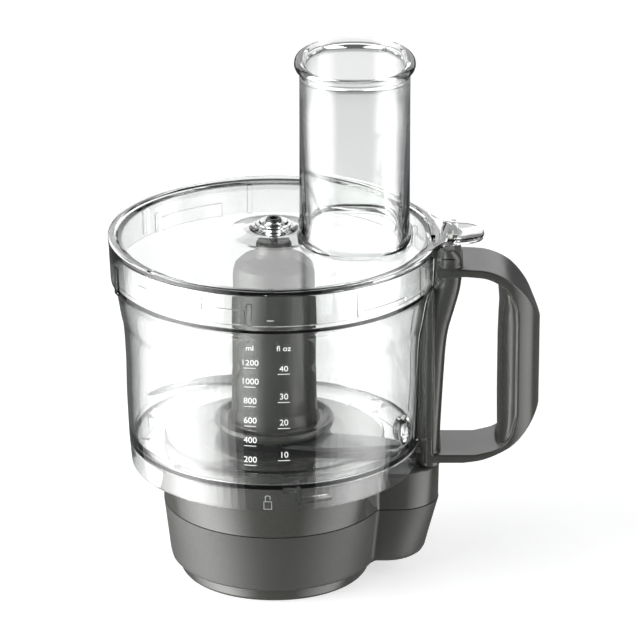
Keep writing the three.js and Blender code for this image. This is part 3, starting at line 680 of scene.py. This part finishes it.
def palm_swell():
    """Convex inner side of the grip."""
    half = 16.9
    levels = []
    for z, middle, depth in ((77, 127, 3), (83, 130.5, 6), (92, 133.3, 9), (105, 134.3, 10.2),
                             (140, 134.3, 10.2),
                             (152, 134, 9.6), (160, 132.8, 8), (168, 130.2, 6), (175, 127, 3.5)):
        ring = [(middle + depth * math.cos(a), half * math.sin(a), z)
                for a in np.linspace(np.pi / 2, 1.5 * np.pi, 25)]
        levels.append(ring + [(middle + 2, -half, z), (middle + 2, half, z)])
    return outward(loft("palm", levels))


def handle():
    outer = [(84, 184)] + smooth_curve([(106, 184), (119, 182.6), (130.5, 177), (139.5, 167.5),
                                        (144.6, 157.5), (GRIP_X, 151)])
    outer += smooth_curve([(GRIP_X, 99), (142.6, 90.2), (135, 81.2), (126, 75), (116, 70.7),
                           (106, 69)]) + [(84, 69)]
    inner = [(88, 179.8)] + smooth_curve([(106, 179.8), (118, 178.2), (127.5, 172.4), (133.3, 163),
                                          (134.6, 154)])
    inner += smooth_curve([(134.6, 97), (131.5, 85), (124, 77.2), (112, 73.6)]) + [(88, 73.6)]
    band = prism("band", outer, -HANDLE_W, HANDLE_W, "xz")
    hollow = prism("hollow", inner, -HANDLE_W - 1, HANDLE_W + 1, "xz")
    combine(band, "DIFFERENCE", hollow)
    tip = GRIP_X - HANDLE_W
    plan = [(60, -HANDLE_W)] + [(tip + HANDLE_W * math.cos(a), HANDLE_W * math.sin(a))
                                for a in np.linspace(-math.pi / 2, math.pi / 2, 49)] + [(60, HANDLE_W)]
    combine(band, "INTERSECT", prism("plan", plan, 60, 200))
    wall = [(r + 0.3, z) for r, z in [(79.9, SKIRT_Z - 4)] + smooth_curve([(80.35, 72)] + wall_outer)
            + [(90.4, 174.6), (BOWL_RIM_R, BOWL_RIM_Z + 4)]]
    room = turned("room", [(0, SKIRT_Z - 4)] + wall + [(0, BOWL_RIM_Z + 4)])
    web = prism("web", [(78, SPINE_Z0 + 0.5), (88, SPINE_Z0 + 0.5), (88, 150), (96, 172), (96, 193),
                        (78, 193)],
                -9, 9, "xz")
    body = combine(spine(), "UNION", band, web, palm_swell())
    raised = top_of("interlock_plunger") + PLUNGER_TRAVEL
    combine(body, "DIFFERENCE", room, plunger_hole(3.9, SPINE_Z0 - 6, raised + 1))
    body.name = "handle_skin"
    return remeshed(body, 0.6, 6)


finish_piece(handle(), "bowl", looks["gloss_grey"], ["handle"], sharp=0)


# ---- knife ---------------------------------------------------------------------------------------

def knife_hub():
    profile = rounded([(0, 179.9), (17, 178.5, 2), (20.6, 172, 3), (20.8, bottom_of("knife_hub"), 0.4),
                       (32.6, bottom_of("knife_hub"), 1.0), (33.5, 88.6, 1.4), (32.9, 91, 0.6),
                       (31.4, 90.9, 0.8),
                       (28.4, 88.9, 2.5), (25, 89.3, 3), (23.8, 98, 5), (23.3, 120), (22.9, 172, 3),
                       (21.8, 178.5, 3),
                       (18, 182.4, 3), (12.2, 184.8, 2), (10.2, 187.5, 2), (9.6, 193, 0.8),
                       (8.3, 194, 0.5),
                       (2.3, 194, 0.2), (2.3, 183), (0, 183)], closed=False)
    return turned("knife_hub_skin", profile, 128)


def blade(name, outline, z, edge, ring_r):
    """Thin blade ground down to its cutting edge. edge lists the outline points that are sharp."""
    thick = 1.4
    flat = np.array(outline, float)
    middle = flat.mean(0)
    top = []
    for k, point in enumerate(flat):
        pull = 5.0 if k in edge else 0.25
        way = middle - point
        top.append(point + way / np.linalg.norm(way) * pull)
    low = np.c_[flat, np.full(len(flat), z)]
    rim = np.c_[flat, [z + (0.12 if k in edge else thick - 0.2) for k in range(len(flat))]]
    high = np.c_[np.array(top), np.full(len(flat), z + thick)]
    body = outward(loft(name, [low, rim, high]))
    root = turned("root", rounded([(14, z, 0.1), (ring_r, z, 0.2), (ring_r, z + thick, 0.3),
                                   (14, z + thick, 0.1)]), 64)
    return combine(body, "UNION", root)


def blades():
    lower_z = bottom_of("lower_blade")
    upper_z = bottom_of("upper_blade")
    lower = [(12, -6)] + smooth_curve([(25, -13.5), (42, -16.4), (55, -18.6), (63, -21.5), (68, -26),
                                       (69.6, -31)])
    back = len(lower)
    lower += smooth_curve([(67.5, -33), (61, -35.4), (50, -37.4), (35, -38), (20, -36.2),
                           (5, -32.5)]) + [(0, -20)]
    first = blade("lower_blade_skin", lower, lower_z, set(range(back, len(lower) - 1)), 24.6)
    upper = [(-14, 13)] + smooth_curve([(-23, 12), (-37, 9), (-50, 3.5), (-61, -5), (-67, -12.5),
                                        (-70, -19)])
    back = len(upper)
    upper += smooth_curve([(-66, -18.8), (-58, -13), (-48, -6), (-37, -3.6), (-27, -3)]) + [(-14, -6)]
    second = blade("upper_blade_skin", upper, upper_z, set(range(1, back)), 20.2)
    return first, second


finish_piece(knife_hub(), "knife", looks["gloss_grey"], ["knife_hub"])
lower_blade, upper_blade = blades()
finish_piece(lower_blade, "knife", looks["blade_steel"], ["lower_blade"], sharp=20)
finish_piece(upper_blade, "knife", looks["blade_steel"], ["upper_blade"], sharp=20)


# ---- lid -----------------------------------------------------------------------------------------

TUBE_X = 44.5
TUBE_A = 30.3
TUBE_B = 37.0
TUBE_WALL = 2.5
LIP_A = 33.2
LIP_B = 40.6
LIP_SQUARENESS = 2.2


def tube_section(z, a, b, squareness=2.6, count=96):
    angle = np.arange(count) * 2 * np.pi / count
    c, s = np.cos(angle), np.sin(angle)
    x = a * np.sign(c) * np.abs(c) ** (2 / squareness)
    y = b * np.sign(s) * np.abs(s) ** (2 / squareness)
    return np.c_[TUBE_X + x, y, np.full(count, float(z))]


def lid():
    low = BOWL_RIM_Z + 0.35
    top = RIM_TOP
    profile = rounded([(4.5, 206.5, 0.3), (7.8, 206.5, 0.5), (8.1, 205.3, 0.4), (10, 205.1, 0.4),
                       (10.3, 204.2, 0.4), (12, 203.9, 2), (17, 202.2, 9), (26, 200.1, 14),
                       (84, 197.6, 1), (86, 198.3, 1), (87.8, top, 0.8), (90.4, top, 0.8),
                       (RIM_R, 199, 0.6),
                       (RIM_R, low, 0.5), (87.9, low, 0.4), (87.7, 178, 0.6), (85.6, 178, 0.6),
                       (85.4, 195.3, 1.2), (82, 195.3, 0.6), (26, 197.8, 14), (17, 199.7, 9),
                       (13, 200.7, 3), (4.5, 200.7, 0.3)])
    shell = turned("lid_skin", profile)
    tube = [tube_section(z, TUBE_A + d, TUBE_B + d) for z, d in
            ((195.2, 1.2), (197.2, 1.4), (199.2, 2.0), (200.2, 1.1), (201.4, 0.45), (203.5, 0.1),
             (250, 0), (292, 0),
             (294, 0.2), (295, 0.7))]
    tube += [tube_section(z, LIP_A - d, LIP_B - d, LIP_SQUARENESS) for z, d in
             ((295.9, 1.0), (296.6, 0.3), (297.5, 0), (298.3, 0.15), (299, 0.6), (299.6, 1.4),
              (TUBE_TOP - 0.1, 2.3),
              (TUBE_TOP, 3.1))]
    bore = [tube_section(z, TUBE_A - TUBE_WALL + d, TUBE_B - TUBE_WALL + d) for z, d in
            ((190, 0), (250, 0), (292, 0), (295, -0.5), (297.3, -1.0), (298.6, -0.8), (299.4, -0.2),
             (299.9, 0.7), (TUBE_TOP + 0.5, 1.9))]
    tube = outward(loft("tube", tube))
    bore = outward(loft("bore", bore))
    combine(shell, "UNION", tab(), tube, *lid_ribs())
    return combine(shell, "DIFFERENCE", bore)


def tab():
    half = smooth_curve([(87, 28.6), (90, 22.8), (94.3, 17.6), (100, 15), (107, 13.6), (112.6, 10),
                         (115.5, 5), (116, 0)])
    outline = [(84, 31)] + half + [(x, -y) for x, y in half[-2::-1]] + [(84, -31)]
    flat = np.array(outline)
    inward = flat - (98, 0)
    inward /= np.linalg.norm(inward, axis=1)[:, None]
    levels = [np.c_[flat - inward * d, np.full(len(flat), z)] for z, d in
              ((197.0, 0.9), (197.2, 0.35), (197.7, 0.0), (199.2, 0.0), (199.8, 0.35), (RIM_TOP, 0.9))]
    body = outward(loft("tab", levels))
    room = turned("tab_room", [(0, 190), (86.4, 190), (86.4, 205), (0, 205)], 96)
    return combine(body, "DIFFERENCE", room)


def lid_ribs():
    """Locking lugs inside the skirt, and two stiffening ribs across the tab."""
    ribs = []
    half = 1.3
    for turn in (0, 120, 240):
        ribs.append(arc_block("rib", 83.4, 86.2, turn + 111, turn + 140, 178.2, 186.4, 20))
        ribs.append(arc_block("rib", 82.9, 86.2, turn + 140.6, turn + 142.4, 178.2, 190, 2))
        ribs.append(arc_block("rib", 82.7, 86.2, turn + 148, turn + 150.4, 181, 196.5, 2))
        ribs.append(arc_block("rib", 82.9, 86.2, turn + 99, turn + 100.8, 178.2, 196, 2))
    for x in (87.6, 99.6):
        outline = [(x - half, -11), (x + half, -11), (x + half, 13), (x - half, 13)]
        ribs.append(prism("rib", outline, 199.4, 202))
    return ribs


def lid_bush():
    return turned("lid_bush_skin", rounded([(2.4, 198.9, 0.2), (6.8, 198.9, 0.3), (6.8, 200.4, 0.3),
                                            (4.1, 200.4),
                                            (4.1, 208, 0.5), (2.4, 208, 0.5)]), 64)


finish_piece(lid(), "lid", looks["clear"], ["lid"])
finish_piece(lid_bush(), "lid_bush", looks["black"], ["lid_bush"])


# ---- floor, light and camera ---------------------------------------------------------------------

def floor():
    """Pale sweep. What is seen through clear plastic darkens beside and behind the object, as with
    black flags, and mirror images show the panels in place of the sweep. Past the ring of lamps the
    sweep brightens by itself, so that it stays even from every side."""
    size = 6
    mesh = bpy.data.meshes.new("floor")
    mesh.from_pydata([(-size, -size, 0), (size, -size, 0), (size, size, 0), (-size, size, 0)], [],
                     [(0, 1, 2, 3)])
    obj = bpy.data.objects.new("floor", mesh)
    bpy.context.collection.objects.link(obj)
    sockets = {"Emission Color": (1, 1, 1, 1), "Specular IOR Level": 0.0}
    material, bsdf = shader("floor", (0.6, 0.6, 0.6), 1.0, **sockets)
    nodes, links = material.node_tree.nodes, material.node_tree.links
    path = nodes.new("ShaderNodeLightPath")
    place = nodes.new("ShaderNodeTexCoord")
    axes = nodes.new("ShaderNodeSeparateXYZ")
    links.new(place.outputs["Object"], axes.inputs["Vector"])

    def math_node(how, first, second=None):
        node = nodes.new("ShaderNodeMath")
        node.operation = how
        for socket, value in zip(node.inputs, (first, second)):
            if isinstance(value, float):
                socket.default_value = value
            elif value is not None:
                links.new(value, socket)
        return node.outputs["Value"]

    def step(value, start, end):
        node = nodes.new("ShaderNodeMapRange")
        node.inputs["From Min"].default_value = start
        node.inputs["From Max"].default_value = end
        links.new(value, node.inputs["Value"])
        return node.outputs["Result"]

    aside = math_node("SUBTRACT", math_node("ABSOLUTE", axes.outputs["X"]),
                      math_node("MULTIPLY", axes.outputs["Y"], 0.1))
    lit = math_node("MULTIPLY", step(aside, 0.32, 0.2), step(axes.outputs["Y"], 1.7, 1.2))
    lit = math_node("MAXIMUM", lit, path.outputs["Is Camera Ray"])
    glow = nodes.new("ShaderNodeMapRange")
    glow.inputs["To Min"].default_value = 0.4
    glow.inputs["To Max"].default_value = 0.6
    links.new(lit, glow.inputs["Value"])
    reach = nodes.new("ShaderNodeVectorMath")
    reach.operation = "LENGTH"
    links.new(place.outputs["Object"], reach.inputs[0])
    past_lamps = math_node("MULTIPLY", step(reach.outputs["Value"], 0.9, 1.5),
                           path.outputs["Is Camera Ray"])
    total = math_node("ADD", glow.outputs["Result"], math_node("MULTIPLY", past_lamps, 0.6))
    links.new(total, bsdf.inputs["Emission Strength"])
    gone = nodes.new("ShaderNodeBsdfTransparent")
    mix = nodes.new("ShaderNodeMixShader")
    links.new(math_node("MINIMUM", path.outputs["Glossy Depth"], 1.0), mix.inputs["Fac"])
    links.new(bsdf.outputs["BSDF"], mix.inputs[1])
    links.new(gone.outputs["BSDF"], mix.inputs[2])
    links.new(mix.outputs["Shader"], nodes["Material Output"].inputs["Surface"])
    mesh.materials.append(material)
    obj.visible_shadow = False


def softbox(name, azimuth, low, high, distance, width, radiance):
    """Upright area lamp from one height to another. Azimuth 0 is the camera's side and 90 the
    handle's side; width is in degrees round the object."""
    a = math.radians(azimuth)
    way = Vector((math.sin(a), -math.cos(a), 0))
    lamp = bpy.data.lights.new(name, "AREA")
    lamp.shape = "RECTANGLE"
    lamp.size = 2 * distance * math.tan(math.radians(width / 2))
    lamp.size_y = high - low
    lamp.energy = radiance * math.pi * lamp.size * lamp.size_y
    obj = bpy.data.objects.new(name, lamp)
    obj.location = way * distance + Vector((0, 0, (low + high) / 2))
    obj.rotation_euler = way.to_track_quat("Z", "Y").to_euler()
    obj.visible_camera = False
    bpy.context.collection.objects.link(obj)


def studio():
    """Two tall panels that fade towards their edges, in narrow strips, and one behind. Each curve
    gives the radiance at azimuths in degrees."""
    low, high, distance = -2.2, 1.3, 1.5
    panels = {"left": (-126, -26, ((-126, 0.6), (-114, 1.7), (-97, 4.2), (-82, 7), (-66, 7.4), (-51, 5),
                                   (-37, 2), (-26, 0.3))),
              "right": (32, 102, ((32, 0.5), (40, 1), (50, 2), (64, 3.2), (80, 3.5), (94, 2.5),
                                  (102, 0.5)))}
    pitch = 6
    for name, (first, last, curve) in panels.items():
        angles, levels = zip(*curve)
        for azimuth in np.arange(first + pitch / 2, last, pitch):
            radiance = float(np.interp(azimuth, angles, levels))
            softbox(f"{name}_{azimuth:.0f}", azimuth, low, high, distance, pitch, radiance)
    softbox("back", 180, 0.42, 1.25, 1.6, 66, 1.4)
    world = bpy.data.worlds.new("studio")
    world.use_nodes = True
    nodes, links = world.node_tree.nodes, world.node_tree.links
    background = nodes["Background"]
    background.inputs["Color"].default_value = (0.96, 0.98, 1.0, 1)
    backdrop = nodes.new("ShaderNodeMapRange")
    backdrop.inputs["To Min"].default_value = 0.14
    backdrop.inputs["To Max"].default_value = 1.1
    links.new(nodes.new("ShaderNodeLightPath").outputs["Is Camera Ray"], backdrop.inputs["Value"])
    links.new(backdrop.outputs["Result"], background.inputs["Strength"])
    bpy.context.scene.world = world
    bpy.context.scene.view_settings.view_transform = "Standard"


def camera():
    """Long lens at the height of the lid, looking down at the bowl."""
    elevation = math.radians(21.5)
    distance = 2.775
    aim = Vector(((AXIS_X + 25.5) * MM, 0, 0.1474))
    data = bpy.data.cameras.new("camera")
    data.sensor_width = 36
    data.lens = 281.25
    obj = bpy.data.objects.new("camera", data)
    obj.location = aim + distance * Vector((0, -math.cos(elevation), math.sin(elevation)))
    obj.rotation_euler = (math.pi / 2 - elevation, 0, 0)
    bpy.context.collection.objects.link(obj)
    bpy.context.scene.camera = obj


floor()
studio()
camera()
